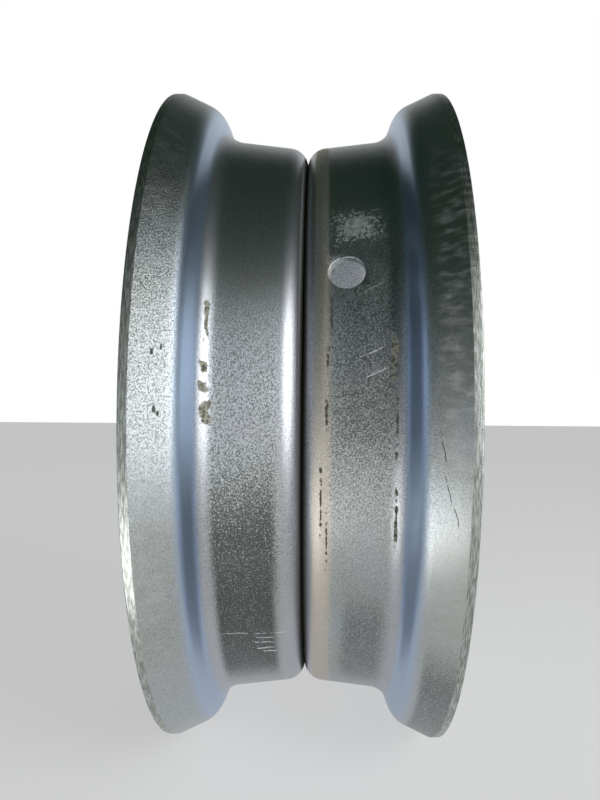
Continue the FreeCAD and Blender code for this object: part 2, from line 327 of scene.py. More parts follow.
def end_tree(kit: NodeKit, geometry: Any, finish: Any) -> NodeTree:
    """End a geometry tree with single meshes that have their finish.

    Args:
        geometry: What the tree has made.
        finish: The material that all of it gets.

    Returns:
        The finished tree.
    """
    single = kit.out("GeometryNodeRealizeInstances", {"Geometry": geometry})
    dressed = kit.out("GeometryNodeSetMaterial", {"Geometry": single, "Material": finish})
    return kit.end({"Geometry": dressed})


def build_spin_tree() -> NodeTree:
    """Build the tree that turns a closed section once round the Y axis.

    Returns:
        The tree, which takes a finish as one of its inputs.
    """
    sockets = {**GEOMETRY, "Segments": "NodeSocketInt", **SHARP, **FINISH}
    kit = new_tree("spin_section", "GeometryNodeTree", sockets, GEOMETRY)
    given = kit.given()
    section = kit.out("GeometryNodeMeshToCurve", {"Mesh": given["Geometry"]})
    circle = kit.out(
        "GeometryNodeCurvePrimitiveCircle", {"Resolution": given["Segments"], "Radius": SPIN_BASE_RADIUS}
    )
    path = kit.out("GeometryNodeSetCurveNormal", {"Curve": circle}, mode="Z_UP")
    spun = kit.out("GeometryNodeCurveToMesh", {"Curve": path, "Profile Curve": section})
    closed = kit.out("GeometryNodeMergeByDistance", {"Geometry": spun, "Distance": POLE_MERGE})
    upright = kit.out("GeometryNodeTransform", {"Geometry": closed, "Rotation": (math.pi / 2, 0.0, 0.0)})
    shaded = shade_by_angle(kit, upright, given["Sharp Angle"])
    return end_tree(kit, shaded, given["Finish"])


def ring_points(kit: NodeKit, given: Any) -> NodeSocket:
    """Add nodes that place points evenly on a circle about the Y axis.

    Args:
        given: The tree's inputs, with Count, Circle and Start.

    Returns:
        The points.
    """
    points = kit.out("GeometryNodePoints", {"Count": given["Count"], "Radius": MM})
    index = kit.out("GeometryNodeInputIndex")
    share = kit.math("DIVIDE", index, given["Count"])
    angle = kit.math("MULTIPLY_ADD", share, math.tau, given["Start"])
    across = kit.math("MULTIPLY", kit.math("COSINE", angle), given["Circle"])
    upward = kit.math("MULTIPLY", kit.math("SINE", angle), given["Circle"])
    place = kit.out("ShaderNodeCombineXYZ", {"X": across, "Z": upward})
    return kit.out("GeometryNodeSetPosition", {"Geometry": points, "Position": place})


def build_punch_tree() -> NodeTree:
    """Build the tree that cuts a ring of equal holes through a piece.

    Returns:
        The tree, which takes a finish as one of its inputs.
    """
    sockets = {**GEOMETRY, "Punch": "NodeSocketObject", **RING, **SHARP, **FINISH}
    kit = new_tree("punch_ring", "GeometryNodeTree", sockets, GEOMETRY)
    given = kit.given()
    places = ring_points(kit, given)
    punch = kit.add("GeometryNodeObjectInfo", {"Object": given["Punch"], "As Instance": False})
    copies = kit.out(
        "GeometryNodeInstanceOnPoints", {"Points": places, "Instance": punch.outputs["Geometry"]}
    )
    cutters = kit.out("GeometryNodeRealizeInstances", {"Geometry": copies})
    cut = kit.out(
        "GeometryNodeMeshBoolean",
        {"Mesh 1": given["Geometry"], "Mesh 2": cutters},
        operation="DIFFERENCE",
        solver="MANIFOLD",
    )
    shaded = shade_by_angle(kit, cut, given["Sharp Angle"])
    return end_tree(kit, shaded, given["Finish"])


def build_ring_tree() -> NodeTree:
    """Build the tree that repeats one fastener on the clamp circle, each turned by chance.

    Returns:
        The tree, which takes a finish as one of its inputs.
    """
    kit = new_tree("fastener_ring", "GeometryNodeTree", {**GEOMETRY, **RING, **FINISH}, GEOMETRY)
    given = kit.given()
    places = ring_points(kit, given)
    index = kit.out("GeometryNodeInputIndex")
    chance = {"Max": HEX_STEP, "ID": index, "Seed": FASTENER_SEED}
    spin = kit.add("FunctionNodeRandomValue", chance, data_type="FLOAT")
    turn = kit.out("ShaderNodeCombineXYZ", {"Y": spin.outputs[1]})
    rotation = kit.out("FunctionNodeEulerToRotation", {0: turn})
    copies = kit.out(
        "GeometryNodeInstanceOnPoints",
        {"Points": places, "Instance": given["Geometry"], "Rotation": rotation},
    )
    return end_tree(kit, copies, given["Finish"])


def run_tree(mesh: Mesh, tree: NodeTree, values: dict[str, Any]) -> Mesh:
    """Run a geometry tree on a mesh and return the plain result.

    Args:
        mesh: The mesh that the tree starts from.
        tree: The geometry tree.
        values: The tree's inputs by name.

    Returns:
        A new mesh with nothing live left on it.
    """
    holder = bpy.data.objects.new("holder", mesh)
    bpy.context.collection.objects.link(holder)
    modifier = holder.modifiers.new("tree", "NODES")
    modifier.node_group = tree
    for item in tree.interface.items_tree:
        if item.in_out == "INPUT" and item.name in values:
            modifier[item.identifier] = values[item.name]
    bpy.context.view_layer.update()
    evaluated = holder.evaluated_get(bpy.context.evaluated_depsgraph_get())
    result = bpy.data.meshes.new_from_object(evaluated)
    bpy.data.objects.remove(holder)
    return result


@dataclass(frozen=True)
class Ring:
    """Even places on a circle about the spin axis; start is the first one's angle, from X towards Z."""

    count: int = 1
    circle: float = 0.0
    start: float = 0.0

    def inputs(self) -> dict[str, Any]:
        """The ring as inputs of a geometry tree."""
        return {"Count": self.count, "Circle": self.circle, "Start": self.start}


class Workshop:
    """Holds the geometry trees and makes plain meshes with them."""

    def __init__(self) -> None:
        """Build each tree once."""
        self.spin_tree = build_spin_tree()
        self.punch_tree = build_punch_tree()
        self.ring_tree = build_ring_tree()

    def spin(
        self, outline: list[Vector], segments: int, finish: Material, hollow: bool = True
    ) -> Mesh:
        """Turn an outline of radius and height once round the Y axis.

        Args:
            outline: The points of the section in order.
            segments: How many steps there are in the turn.
            finish: The material that the mesh gets.
            hollow: True for a closed section off the axis, False for one that ends on the axis.

        Returns:
            The turned mesh.
        """
        section = bpy.data.meshes.new("section")
        count = len(outline)
        places = [(point.x - SPIN_BASE_RADIUS, point.y, 0.0) for point in outline]
        edges = [(index, (index + 1) % count) for index in range(count if hollow else count - 1)]
        section.from_pydata(places, edges, [])
        values = {"Segments": segments, "Sharp Angle": SHARP_ANGLE, "Finish": finish}
        return run_tree(section, self.spin_tree, values)

    def punch(
        self, mesh: Mesh, cutter: Mesh, finish: Material, ring: Ring = Ring()
    ) -> Mesh:
        """Cut copies of a cutter, evenly placed on a circle, out of a mesh.

        Args:
            mesh: The mesh to cut.
            cutter: One closed cutter, at the Y axis.
            finish: The material that the cut mesh gets.
            ring: Where the copies go.

        Returns:
            The cut mesh.
        """
        tool = bpy.data.objects.new("cutter", cutter)
        bpy.context.collection.objects.link(tool)
        values = {"Punch": tool, "Sharp Angle": SHARP_ANGLE, "Finish": finish, **ring.inputs()}
        result = run_tree(mesh, self.punch_tree, values)
        bpy.data.objects.remove(tool)
        return result

    def repeat(self, mesh: Mesh, ring: Ring, finish: Material) -> Mesh:
        """Repeat one fastener on a circle and give it its finish."""
        return run_tree(mesh, self.ring_tree, {"Finish": finish, **ring.inputs()})


def add_piece(name: str, mesh: Mesh, node: str) -> Object:
    """Put a finished mesh in the scene in place of its solid.

    Args:
        name: Name of the piece.
        mesh: The finished mesh, already in its place.
        node: The solid that it stands for.

    Returns:
        The piece.
    """
    mesh.name = name
    piece = bpy.data.objects.new(name, mesh)
    bpy.context.collection.objects.link(piece)
    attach(piece, BODY)
    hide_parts(node)
    LOG.info("%s: %d faces", name, len(mesh.polygons))
    return piece


@dataclass(frozen=True)
class SheetSection:
    """Section of the pressed sheet, with radii from the spin axis and heights from the seam."""

    thickness: float = 2.5 * MM
    bead_seat_radius: float = 101.2 * MM
    heel_height: float = 27.4 * MM
    wall_taper: float = math.radians(6.4)
    flange_leg: float = 10.35 * MM
    flange_lean: float = math.radians(20.3)
    lip_width: float = 11.0 * MM
    lip_slope: float = math.radians(24.7)
    lip_land: float = 2.5 * MM
    seam_bend: float = 4.2 * MM
    heel_bend: float = 7.2 * MM
    shoulder_bend: float = 4.75 * MM
    hub_bore: float = 32.5 * MM
    edge_rounding: float = 0.35 * MM
    longest_stretch: float = 4.0 * MM

    @property
    def wall_foot(self) -> float:
        """Radius where the tapered wall would meet the seam plane."""
        return self.bead_seat_radius - self.heel_height * math.tan(self.wall_taper)

    @property
    def shoulder(self) -> Vector:
        """Sharp corner between the flange leg and the lip."""
        return self.tyre_side[3]

    @property
    def lip_edge(self) -> Vector:
        """Corner where the lip meets its sheared edge."""
        return self.tyre_side[4]

    @property
    def tyre_side(self) -> list[Vector]:
        """Sharp corners of the side that faces the tyre, from the bore to the lip.

        Returns:
            Corners at the bore, the wall's foot, the heel, the shoulder and the lip's edge.
        """
        heel = Vector((self.bead_seat_radius, self.heel_height))
        shoulder = heel + Vector((self.flange_leg, self.flange_leg * math.tan(self.flange_lean)))
        edge = shoulder + Vector((self.lip_width * math.tan(self.lip_slope), self.lip_width))
        return [Vector((self.hub_bore, 0.0)), Vector((self.wall_foot, 0.0)), heel, shoulder, edge]

    def outline(self) -> list[Vector]:
        """The closed section, with its bends and its broken sheared edges.

        Returns:
            The outline as flat points of radius and height.
        """
        bore, foot, heel, shoulder, edge = self.tyre_side
        land_end = edge + Vector((0.0, self.lip_land))
        lip_end = edge + Vector((math.tan(self.lip_slope), 1.0)) * self.lip_land
        inner = [
            offset_corner(*corners, self.thickness)
            for corners in ((bore, foot, heel), (foot, heel, shoulder), (heel, shoulder, edge))
        ]
        drop = self.thickness / math.cos(self.lip_slope)
        face_end = Vector((lip_end.x - drop, land_end.y))
        outer, fine = self.thickness, self.edge_rounding
        corners = [
            Corner(bore.x, bore.y, fine),
            Corner(foot.x, foot.y, self.seam_bend + outer),
            Corner(heel.x, heel.y, self.heel_bend),
            Corner(shoulder.x, shoulder.y, self.shoulder_bend + outer),
            Corner(edge.x, edge.y, fine),
            Corner(land_end.x, land_end.y, fine),
            Corner(face_end.x, face_end.y, fine),
            Corner(inner[2].x, inner[2].y, self.shoulder_bend),
            Corner(inner[1].x, inner[1].y, self.heel_bend + outer),
            Corner(inner[0].x, inner[0].y, self.seam_bend),
            Corner(bore.x, self.thickness, fine),
        ]
        return outline_points(corners, self.longest_stretch)


@dataclass(frozen=True)
class HoleRing:
    """A ring of round holes through the web."""

    ring: Ring
    radius: float


HUB_HOLES = HoleRing(Ring(count=4, circle=50.0 * MM), radius=5.25 * MM)


@dataclass(frozen=True)
class ValveHole:
    """The punched valve hole in the bead seat."""

    radius: float = 5.0 * MM
    offset: float = 12.1 * MM
    angle: float = math.radians(23.7)
    edge_rounding: float = 0.55 * MM


def punch_outline(radius: float, thickness: float, rounding: float) -> list[Vector]:
    """Section of a punch that leaves both edges of its hole rounded.

    Args:
        radius: Radius of the hole.
        thickness: Thickness of the sheet, which runs down from height zero.
        rounding: Radius of the hole's edges.

    Returns:
        The outline, from the axis below to the axis above.
    """
    past = thickness
    outer = []
    for step in range(PUNCH_ARC_STEPS + 1):
        angle = math.pi / 2 * step / PUNCH_ARC_STEPS
        outer.append(
            Vector((radius + rounding * (1 - math.sin(angle)), -rounding * (1 - math.cos(angle))))
        )
    lower = [Vector((point.x, -thickness - point.y)) for point in outer]
    flare = outer[0].x
    below = [Vector((0.0, -thickness - past)), Vector((flare, -thickness - past))]
    above = [Vector((flare, past)), Vector((0.0, past))]
    return [*below, *lower, *reversed(outer), *above]


@dataclass(frozen=True)
class RimHalf:
    """One pressed half of the rim."""

    side: Side
    section: SheetSection
    web_holes: tuple[HoleRing, ...]
    valve_hole: ValveHole | None = None
    web_hole_rounding: float = 0.3 * MM

    @property
    def node(self) -> str:
        """Name of the solid that this half stands for."""
        return f"rim_half_{self.side.name.lower()}"

    def build(self, shop: Workshop, finish: Material) -> Object:
        """Spin the sheet, punch its holes and dress it.

        Args:
            shop: Makes the meshes.
            finish: The plating.

        Returns:
            The finished half.
        """
        mesh = shop.spin(self.section.outline(), SPIN_SEGMENTS, finish)
        for holes in self.web_holes:
            mesh = shop.punch(mesh, self.web_cutter(shop, holes, finish), finish, holes.ring)
        if self.valve_hole:
            mesh = shop.punch(mesh, self.valve_cutter(shop, self.valve_hole, finish), finish)
        if self.side is Side.PLAIN:
            mesh.transform(Matrix.Scale(-1.0, 4, (0.0, 1.0, 0.0)))
            mesh.flip_normals()
        return add_piece(f"{self.node}_sheet", mesh, self.node)

    def web_cutter(self, shop: Workshop, holes: HoleRing, finish: Material) -> Mesh:
        """Make the punch for a ring of web holes, turned a little so that no edges coincide.

        Args:
            shop: Makes the meshes.
            holes: The ring of holes.
            finish: The plating.

        Returns:
            The punch, standing on the spin axis.
        """
        outline = punch_outline(holes.radius, self.section.thickness, self.web_hole_rounding)
        cutter = shop.spin(outline, FASTENER_SEGMENTS, finish, hollow=False)
        lift = Matrix.Translation((0.0, self.section.thickness, 0.0))
        cutter.transform(lift @ Matrix.Rotation(PUNCH_TWIST, 4, "Y"))
        return cutter

    def valve_cutter(self, shop: Workshop, hole: ValveHole, finish: Material) -> Mesh:
        """Make the valve hole's punch, square to the tapered bead seat.

        Args:
            shop: Makes the meshes.
            hole: The hole and its place.
            finish: The plating.

        Returns:
            The punch in its place on the rim.
        """
        section = self.section
        outline = punch_outline(hole.radius, section.thickness, hole.edge_rounding)
        cutter = shop.spin(outline, 2 * FASTENER_SEGMENTS, finish, hollow=False)
        seat = section.wall_foot + hole.offset * math.tan(section.wall_taper)
        lay_out = Matrix.Rotation(-math.pi / 2 - section.wall_taper, 4, "Z")
        to_seat = Matrix.Translation((seat, hole.offset, 0.0))
        round_rim = Matrix.Rotation(-hole.angle, 4, "Y")
        cutter.transform(round_rim @ to_seat @ lay_out)
        return cutter


@dataclass(frozen=True)
class ClampSet:
    """Sizes of the bolts, washers and nuts that clamp the two webs."""

    count: int = 4
    inset: float = 20.6 * MM
    start: float = math.radians(45.0)
    bolt_radius: float = 4.0 * MM
    hole_clearance: float = 0.4 * MM
    head_flats: float = 13.0 * MM
    head_height: float = 5.3 * MM
    nut_height: float = 6.5 * MM
    washer_thickness: float = 1.6 * MM
    spring_thickness: float = 2.0 * MM
    protrusion: float = 3.3 * MM
    end_chamfer: float = 1.0 * MM
    thread_pitch: float = 1.25 * MM
    thread_depth: float = 0.6 * MM
    thread_turns: int = 6
    crest_end: float = 0.15
    root_start: float = 0.5
    root_end: float = 0.65
    nut_mouth: float = 0.45 * MM
    nut_clearance: float = 0.1 * MM
    sleeve_reach: float = 3.0
    chamfer_angle: float = math.radians(30.0)

    def ring(self, section: SheetSection) -> Ring:
        """Where the bolts stand."""
        return Ring(self.count, section.wall_foot - section.thickness - self.inset, self.start)

    def holes(self, section: SheetSection) -> HoleRing:
        """The holes that the bolts go through."""
        return HoleRing(self.ring(section), self.bolt_radius + self.hole_clearance)

    @property
    def corner_radius(self) -> float:
        """Radius over the corners of a bolt head or a nut."""
        return self.head_flats / 2 / math.cos(math.pi / HEX_SIDES)

    @property
    def corner_drop(self) -> float:
        """How far the chamfer comes down a corner of a bolt head or a nut."""
        return (self.corner_radius - self.head_flats / 2) * math.tan(self.chamfer_angle)

    def bolt_outline(self, section: SheetSection) -> list[Vector]:
        """Section of one bolt, from its threaded end to the top of its head.

        Args:
            section: The sheet that it clamps.

        Returns:
            The outline, which starts and ends on the axis.
        """
        seat = section.thickness + self.washer_thickness
        top = seat + self.head_height
        end = -seat - self.spring_thickness - self.nut_height - self.protrusion
        crest, pitch = self.bolt_radius, self.thread_pitch
        root = crest - self.thread_depth
        thread = end + self.end_chamfer
        points = [(0.0, end), (crest - self.end_chamfer, end)]
        for turn in range(self.thread_turns):
            base = thread + turn * pitch
            points.append((crest, base))
            points.append((crest, base + self.crest_end * pitch))
            points.append((root, base + self.root_start * pitch))
            points.append((root, base + self.root_end * pitch))
        points.append((crest, thread + self.thread_turns * pitch))
        points.append((crest, seat))
        points.append((self.corner_radius, seat))
        points.append((self.corner_radius, top - self.corner_drop))
        points.append((self.head_flats / 2, top))
        points.append((0.0, top))
        return [Vector(point) for point in points]

    def nut_outline(self, section: SheetSection) -> list[Vector]:
        """Closed section of one nut.

        Args:
            section: The sheet that it clamps.

        Returns:
            The outline.
        """
        seat = -section.thickness - self.washer_thickness - self.spring_thickness
        end = seat - self.nut_height
        bore = self.bolt_radius + self.nut_clearance
        mouth = self.bolt_radius + self.nut_mouth
        points = [
            (mouth, end),
            (self.head_flats / 2, end),
            (self.corner_radius, end + self.corner_drop),
            (self.corner_radius, seat - self.corner_drop),
            (self.head_flats / 2, seat),
            (mouth, seat),
            (bore, seat - self.nut_mouth),
            (bore, end + self.nut_mouth),
        ]
        return [Vector(point) for point in points]

    def flats_outline(self, low: float, high: float) -> list[Vector]:
        """Closed section of the six-sided sleeve that cuts the flats of a head or a nut.

        Args:
            low: Height where the sleeve starts.
            high: Height where it ends.

        Returns:
            The outline.
        """
        near = self.corner_radius
        far = self.sleeve_reach * near
        return [Vector(point) for point in ((near, low), (far, low), (far, high), (near, high))]

    def build(self, shop: Workshop, section: SheetSection, finish: Material) -> None:
        """Turn and cut a bolt and a nut, repeat them on the clamp circle, and dress the washers.

        Args:
            shop: Makes the meshes.
            section: The sheet that they clamp.
            finish: The plating.
        """
        seat = section.thickness + self.washer_thickness
        past_head = seat + 2 * self.head_height
        past_nut = -seat - 3 * self.nut_height
        bolt = shop.spin(self.bolt_outline(section), FASTENER_SEGMENTS, finish, hollow=False)
        nut = shop.spin(self.nut_outline(section), FASTENER_SEGMENTS, finish)
        pieces = (
            ("clamp_bolts_threaded", "clamp_bolts", bolt, self.flats_outline(seat, past_head)),
            ("clamp_nuts_chamfered", "clamp_nuts", nut, self.flats_outline(past_nut, 0.0)),
        )
        for name, node, blank, flats in pieces:
            cut = shop.punch(blank, shop.spin(flats, HEX_SIDES, finish), finish)
            add_piece(name, shop.repeat(cut, self.ring(section), finish), node)
        for node in ("flat_washers", "spring_washers"):
            dress_node(node, finish)


def dress_node(node: str, finish: Material) -> None:
    """Give a solid that is shown as it is its finish.

    Args:
        node: Name of the solid.
        finish: The plating.
    """
    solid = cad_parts[node]
    if not solid.material_slots:
        solid.data.materials.append(finish)
    for material_slot in solid.material_slots:
        material_slot.material = finish


def build_place_group(section: SheetSection) -> NodeTree:
    """Build the group that tells where on the rim a point lies.

    Args:
        section: Says where the sheet's tyre side runs.

    Returns:
        The group, with its output Tyre Side at 1 on that side of the sheet and 0 on the dish side.
    """
    outputs = {name: FLOAT_SOCKET for name in ("Radius", "Height", "Across", "Turn", "Tyre Side")}
    kit = new_tree("rim_place", "ShaderNodeTree", {}, outputs)
    place = kit.object_place()
    parts = kit.add("ShaderNodeSeparateXYZ", {0: place}).outputs
    squares = kit.math("ADD", kit.math("POWER", parts["X"], 2.0), kit.math("POWER", parts["Z"], 2.0))
    radius = kit.math("SQRT", squares)
    height = kit.math("ABSOLUTE", parts["Y"])
    shoulder = section.shoulder
    wall = kit.math("MULTIPLY_ADD", height, math.tan(section.wall_taper), section.wall_foot)
    lip_rise = math.tan(section.lip_slope)
    lip = kit.math("MULTIPLY_ADD", height, lip_rise, shoulder.x - lip_rise * shoulder.y)
    on_lip = kit.math("GREATER_THAN", height, shoulder.y)
    surface = kit.math("MULTIPLY_ADD", kit.math("SUBTRACT", lip, wall), on_lip, wall)
    middle = kit.math("SUBTRACT", surface, section.thickness / 2)
    values = {
        "Radius": radius,
        "Height": height,
        "Tyre Side": kit.math("GREATER_THAN", radius, middle),
        "Across": parts["Y"],
        "Turn": kit.math("ARCTAN2", parts["Z"], parts["X"]),
    }
    return kit.end(values)


@dataclass(frozen=True)
class GrainNoise:
    """How the plating's fine grain, its slow clouds and its slower tints vary."""

    grain_detail: float = 4.0
    grain_rough: float = 0.75
    cloud_detail: float = 3.0
    cloud_rough: float = 0.55
    tint_scale: float = 0.45
    tint_shift: tuple[float, float, float] = (0.37, 0.11, 0.83)

    def build_group(self) -> NodeTree:
        """Build the group for the fine grain and the slow clouding of zinc plating.

        Returns:
            The group, with its outputs from 0 to 1.
        """
        inputs = {"Grain Size": FLOAT_SOCKET, "Cloud Size": FLOAT_SOCKET}
        outputs = {"Grain": FLOAT_SOCKET, "Cloud": FLOAT_SOCKET, "Tint": FLOAT_SOCKET}
        kit = new_tree("plating_grain", "ShaderNodeTree", inputs, outputs)
        given = kit.given()
        place = kit.object_place()
        fine = kit.math("DIVIDE", 1.0, given["Grain Size"])
        slow = kit.math("DIVIDE", 1.0, given["Cloud Size"])
        moved = kit.out("ShaderNodeMapping", {"Vector": place, "Location": self.tint_shift})
        values = {
            "Grain": kit.noise(place, fine, self.grain_detail, self.grain_rough),
            "Cloud": kit.noise(place, slow, self.cloud_detail, self.cloud_rough),
            "Tint": kit.noise(moved, kit.product(slow, self.tint_scale)),
        }
        return kit.end(values)


def build_streak_group() -> NodeTree:
    """Build the group for marks that run round the rim, as pressing and shearing leave them.

    Returns:
        The group, with its output Streak from 0 to 1.
    """
    inputs = {"Length": FLOAT_SOCKET, "Width": FLOAT_SOCKET, "Detail": FLOAT_SOCKET}
    kit = new_tree("round_streaks", "ShaderNodeTree", inputs, {"Streak": FLOAT_SOCKET})
    given = kit.given()
    place = kit.object_place()
    along = kit.math("DIVIDE", 1.0, given["Length"])
    across = kit.math("DIVIDE", 1.0, given["Width"])
    scale = kit.out("ShaderNodeCombineXYZ", {"X": along, "Y": across, "Z": along})
    drawn = kit.out("ShaderNodeVectorMath", {0: place, 1: scale}, operation="MULTIPLY")
    return kit.end({"Streak": kit.noise(drawn, 1.0, given["Detail"])})


PATCH_CORNER = 0.3


def build_patch_group(place_group: NodeTree) -> NodeTree:
    """Build the group that masks one ragged patch of the surface.

    Args:
        place_group: The group that tells where a point lies.

    Returns:
        The group, with its output Mask at 1 inside the patch.
    """
    names = ("Turn", "Half Turn", "Across", "Half Across", "Softness", "Ragged", "Ragged Size")
    inputs = {name: FLOAT_SOCKET for name in names}
    kit = new_tree("ragged_patch", "ShaderNodeTree", inputs, {"Mask": FLOAT_SOCKET})
    given = kit.given()
    place = kit.add("ShaderNodeGroup", node_tree=place_group).outputs
    shares = []
    for way in ("Turn", "Across"):
        distance = kit.math("ABSOLUTE", kit.math("SUBTRACT", place[way], given[way]))
        shares.append(kit.math("DIVIDE", distance, given[f"Half {way}"]))
    share = kit.math("SMOOTH_MAX", *shares, PATCH_CORNER)
    noise = kit.noise(kit.object_place(), kit.math("DIVIDE", 1.0, given["Ragged Size"]))
    uneven = kit.product(kit.math("SUBTRACT", noise, NOISE_MIDDLE), given["Ragged"])
    edge = kit.math("ADD", share, uneven)
    mask = kit.ramp(edge, 1.0, kit.math("SUBTRACT", 1.0, given["Softness"]))
    return kit.end({"Mask": mask})


@dataclass(frozen=True)
class ScratchLine:
    """How a scratch wanders, breaks off and thins out."""

    wander: float = 1.6 * MM
    wander_scale: float = 180.0
    break_scale: float = 520.0
    break_range: Range = (0.36, 0.52)
    full_width: float = 0.3
    full_length: float = 0.7

    def build_group(self, place_group: NodeTree) -> NodeTree:
        """Build the group that masks one thin scratch.

        Args:
            place_group: The group that tells where a point lies.

        Returns:
            The group, with its output Mask at 1 along the scratch.
        """
        names = ("Turn", "Across", "Slope", "Half Length", "Width")
        inputs = {name: FLOAT_SOCKET for name in names}
        kit = new_tree("thin_scratch", "ShaderNodeTree", inputs, {"Mask": FLOAT_SOCKET})
        given = kit.given()
        place = kit.add("ShaderNodeGroup", node_tree=place_group).outputs
        coords = kit.object_place()
        upward = kit.product(kit.math("SUBTRACT", place["Turn"], given["Turn"]), place["Radius"])
        across = kit.math("SUBTRACT", place["Across"], given["Across"])
        cosine = kit.math("COSINE", given["Slope"])
        sine = kit.math("SINE", given["Slope"])
        along = kit.math("ADD", kit.product(across, cosine), kit.product(upward, sine))
        aside = kit.math("SUBTRACT", kit.product(upward, cosine), kit.product(across, sine))
        bent = kit.math("MULTIPLY_ADD", kit.noise(coords, self.wander_scale), self.wander, aside)
        off_line = kit.math("ABSOLUTE", kit.math("SUBTRACT", bent, NOISE_MIDDLE * self.wander))
        line = kit.ramp(off_line, given["Width"], kit.product(given["Width"], self.full_width))
        reach = kit.math("ABSOLUTE", along)
        ends = kit.ramp(reach, given["Half Length"], kit.product(given["Half Length"], self.full_length))
        broken = kit.ramp(kit.noise(coords, self.break_scale), *self.break_range)
        return kit.end({"Mask": kit.product(line, ends, broken)})


class FinishShop:
    """Holds the shared shader groups and puts them in materials."""

    def __init__(self, section: SheetSection) -> None:
        """Build each group once.

        Args:
            section: Says where the sheet lies.
        """
        self.place_group = build_place_group(section)
        self.grain_group = GrainNoise().build_group()
        self.streak_group = build_streak_group()
        self.patch_group = build_patch_group(self.place_group)
        self.scratch_group = ScratchLine().build_group(self.place_group)

    def place(self, kit: NodeKit) -> Any:
        """Put the rim_place group in a material."""
        return self.use(kit, self.place_group, {})

    def grain(self, kit: NodeKit, grain_size: float, cloud_size: float) -> Any:
        """Put the plating_grain group in a material."""
        return self.use(kit, self.grain_group, {"Grain Size": grain_size, "Cloud Size": cloud_size})

    def streak(self, kit: NodeKit, length: float, width: float, detail: float = 2.0) -> NodeSocket:
        """Put the round_streaks group in a material."""
        values = {"Length": length, "Width": width, "Detail": detail}
        return self.use(kit, self.streak_group, values)["Streak"]

    def use(self, kit: NodeKit, group: NodeTree, values: dict[str, Any]) -> Any:
        """Place a shared group with its own values and return its outputs.

        Args:
            group: The shared group.
            values: The group's inputs by name.

        Returns:
            The group's outputs by name.
        """
        node = kit.add("ShaderNodeGroup", node_tree=group)
        for name, value in values.items():
            kit.feed(node.inputs[name], value)
        return node.outputs


def new_material(name: str) -> tuple[Material, NodeKit]:
    """Start a material with an empty node tree.

    Args:
        name: Name of the material.

    Returns:
        The material and a kit that adds nodes to it.
    """
    material = bpy.data.materials.new(name)
    material.use_nodes = True
    material.node_tree.nodes.clear()
    return material, NodeKit(material.node_tree)


def end_metal(kit: NodeKit, inputs: dict[str, Any], height: Any, relief: float) -> None:
    """End a material in a shader whose surface rises and falls.

    Args:
        inputs: The shader's inputs by name.
        height: How high the surface stands, as a share of the relief.
        relief: Height of the relief.
    """
    bump = kit.out("ShaderNodeBump", {"Height": height, "Distance": relief, "Strength": 1.0})
    shader = kit.out("ShaderNodeBsdfPrincipled", {**inputs, "Normal": bump})
    kit.add("ShaderNodeOutputMaterial", {"Surface": shader})


@dataclass(frozen=True)
class Patch:
    """A ragged patch; turn is in degrees up from the front, across in millimetres from the seam."""

    turn: float
    half_turn: float
    across: float
    half_across: float
    softness: float = 0.5
    ragged: float = 1.2
    ragged_size: float = 2.5

    def mask(self, kit: NodeKit, shop: FinishShop) -> NodeSocket:
        """Put the patch in a material and return its mask."""
        values = {
            "Turn": math.radians(self.turn),
            "Half Turn": math.radians(self.half_turn),
            "Across": self.across * MM,
            "Half Across": self.half_across * MM,
            "Softness": self.softness,
            "Ragged": self.ragged,
            "Ragged Size": self.ragged_size * MM,
        }
        return shop.use(kit, shop.patch_group, values)["Mask"]


@dataclass(frozen=True)
class Scratch:
    """A thin scratch, in the measures of a patch; slope is in degrees from the spin axis."""

    turn: float
    across: float
    slope: float
    half_length: float
    width: float = 0.22

    def mask(self, kit: NodeKit, shop: FinishShop) -> NodeSocket:
        """Put the scratch in a material and return its mask."""
        values = {
            "Turn": math.radians(self.turn),
            "Across": self.across * MM,
            "Slope": math.radians(self.slope),
            "Half Length": self.half_length * MM,
            "Width": self.width * MM,
        }
        return shop.use(kit, shop.scratch_group, values)["Mask"]


@dataclass(frozen=True)
class Zone:
    """A soft-edged zone, in the measures of a patch: low end, high end and the fade past both."""

    turn: Band
    across: Band
    share: float = 1.0

    def mask(self, kit: NodeKit, shop: FinishShop) -> NodeSocket:
        """Put the zone in a material.

        Args:
            shop: Holds the shared groups.

        Returns:
            The zone's mask.
        """
        place = shop.place(kit)
        sector = kit.band(place["Turn"], *(math.radians(angle) for angle in self.turn))
        strip = kit.band(place["Across"], *(length * MM for length in self.across))
        return kit.product(sector, strip, self.share)


def gather(kit: NodeKit, shop: FinishShop, marks: tuple[Patch | Scratch | Zone, ...]) -> NodeSocket:
    """Lay the masks of several marks over one another."""
    return kit.highest(*(mark.mask(kit, shop) for mark in marks))


@dataclass(frozen=True)
class CoatShares:
    """How strongly each tone and mark of the plating, and each painted shade, shows."""

    lilac_clouds: float = 0.55
    lilac_bends: float = 0.6
    blue_flange: float = 0.85
    warm_strip: float = 0.85
    grain: float = 0.95
    # The painted shade zones lift and spread the dark grain by these shares.
    dense_and_shade_lift: float = 0.115
    dense_and_shade_spread: float = 0.95
    grain_lost_on_strip: float = 0.4
    pale_patch: float = 0.6
    wipe_lost_on_dense_and_shade: float = 0.8
    pits: float = 0.9
    # Strength of the painted shade in the seam groove.
    seam: float = 0.95
    dirt_and_shade_cover: float = 0.9
    dirt_and_shade_dulling: float = 0.75
    pale_patch_dulling: float = 0.66
    strip_dulling: float = 0.5
    wipe_dulling: float = 0.6


@dataclass(frozen=True)
class GrainPattern:
    """Where the dark grain is strong: in zones round the rim, less on the valve lip and where drawn."""

    zones: float = 3.0
    half_lead: float = math.radians(7.0)
    plain_lip: float = -30.5 * MM
    plain_lip_lead: float = math.radians(25.0)
    wave_range: Range = (-0.1, 0.85)
    least: float = 0.45
    valve_lip: Range = (26.0 * MM, 38.0 * MM)
    valve_lip_loss: float = 0.65
    bend_loss: float = 0.35
    plain_bend_loss: float = 0.15
    flange_loss: float = 0.92


